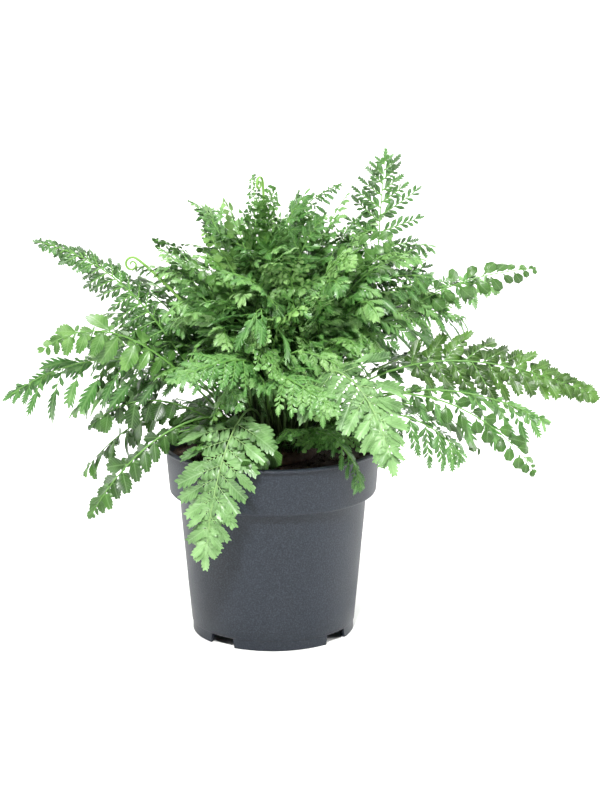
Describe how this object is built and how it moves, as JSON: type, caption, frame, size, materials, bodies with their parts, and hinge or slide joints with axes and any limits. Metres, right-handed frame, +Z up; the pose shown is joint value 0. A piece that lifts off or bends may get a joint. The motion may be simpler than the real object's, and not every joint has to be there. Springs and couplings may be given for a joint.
{
  "type": "potted fern",
  "caption": "Fine-leaved fern with arching divided fronds, growing from a knobbly crown in a round stepped nursery pot filled with soil.",
  "frame": {"origin": "centre of the whole object's bounding box, on the surface it stands on", "axes": "+Z up, +X to the right seen from the front, -Y towards the front"},
  "size_m": [0.3733, 0.2747, 0.3054],
  "materials": {
    "slate_plastic": "moulded matte plastic, slate grey, fine grain",
    "peat": "moist dark peat with light fibres",
    "rootstock": "brown scaly rootstock",
    "broad_blade": "soft semi-gloss leaf, pale sage green",
    "leaflet_blade": "semi-gloss leaf, mid green",
    "lace_blade": "semi-gloss leaf, light green",
    "comb_blade": "semi-gloss leaf, blue-green",
    "spoon_blade": "semi-gloss leaf, fresh green",
    "young_stem": "smooth pale green stem with brown scales"
  },
  "bodies": {
    "root": {"pot": "slate_plastic", "soil": "peat", "crown": "rootstock", "broad_frond_01": "broad_blade", "broad_frond_02": "broad_blade", "broad_frond_03": "broad_blade", "broad_frond_04": "broad_blade", "broad_frond_05": "broad_blade", "broad_frond_06": "broad_blade", "broad_frond_07": "broad_blade", "comb_frond_01": "comb_blade", "comb_frond_02": "comb_blade", "comb_frond_03": "comb_blade", "comb_frond_04": "comb_blade", "comb_frond_05": "comb_blade", "comb_frond_06": "comb_blade", "comb_frond_07": "comb_blade", "comb_frond_08": "comb_blade", "comb_frond_09": "comb_blade", "comb_frond_10": "comb_blade", "crozier_01": "young_stem", "crozier_02": "young_stem", "crozier_03": "young_stem", "lace_frond_01": "lace_blade", "lace_frond_02": "lace_blade", "lace_frond_03": "lace_blade", "lace_frond_04": "lace_blade", "lace_frond_05": "lace_blade", "lace_frond_06": "lace_blade", "lace_frond_07": "lace_blade", "lace_frond_08": "lace_blade", "lace_frond_09": "lace_blade", "lace_frond_10": "lace_blade", "lace_frond_11": "lace_blade", "lace_frond_12": "lace_blade", "lace_frond_13": "lace_blade", "lace_frond_14": "lace_blade", "lace_frond_15": "lace_blade", "lace_frond_16": "lace_blade", "leaflet_frond_01": "leaflet_blade", "leaflet_frond_02": "leaflet_blade", "leaflet_frond_03": "leaflet_blade", "leaflet_frond_04": "leaflet_blade", "leaflet_frond_05": "leaflet_blade", "leaflet_frond_06": "leaflet_blade", "leaflet_frond_07": "leaflet_blade", "leaflet_frond_08": "leaflet_blade", "leaflet_frond_09": "leaflet_blade", "leaflet_frond_10": "leaflet_blade", "leaflet_frond_11": "leaflet_blade", "spoon_frond_01": "spoon_blade", "spoon_frond_02": "spoon_blade", "spoon_frond_03": "spoon_blade", "spoon_frond_04": "spoon_blade", "spoon_frond_05": "spoon_blade", "spoon_frond_06": "spoon_blade", "spoon_frond_07": "spoon_blade", "spoon_frond_08": "spoon_blade"}
  },
  "joints": []
}
